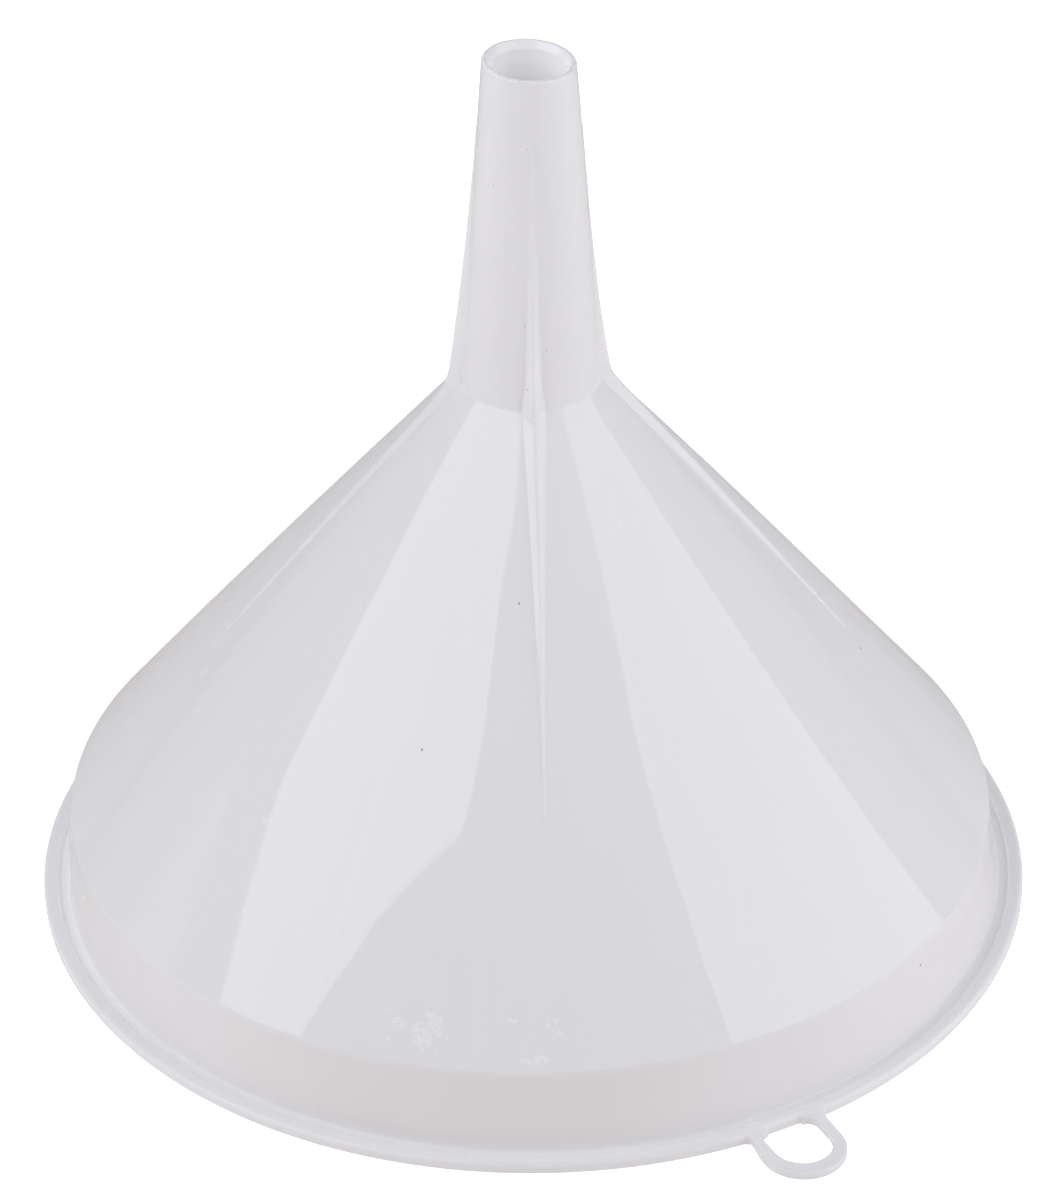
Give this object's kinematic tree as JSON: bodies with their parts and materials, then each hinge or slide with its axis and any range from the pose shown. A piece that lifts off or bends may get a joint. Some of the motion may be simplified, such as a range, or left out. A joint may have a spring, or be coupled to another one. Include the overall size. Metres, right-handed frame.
{
  "type": "funnel",
  "caption": "Plain conical pouring funnel moulded in milky plastic: wide mouth with a beaded rim and hanging eye, ribbed cone and long tapered spout.",
  "frame": {"origin": "on the funnel's axis, in the plane of the mouth that it rests on", "axes": "+Z along the axis from the mouth towards the spout's tip; -Y towards the front rib; +X towards the right rib, with the hanging eye between the two"},
  "size_m": [0.25, 0.2553, 0.2319],
  "materials": {
    "natural_polyethylene": "milky translucent moulded polyethylene with a satin sheen and light scuffs"
  },
  "bodies": {
    "root": {"spout": "natural_polyethylene", "cone": "natural_polyethylene", "collar": "natural_polyethylene", "rim_flange": "natural_polyethylene", "rim_bead": "natural_polyethylene", "hanging_eye": "natural_polyethylene", "rib_front": "natural_polyethylene", "rib_right": "natural_polyethylene", "rib_back": "natural_polyethylene", "rib_left": "natural_polyethylene"}
  },
  "joints": []
}
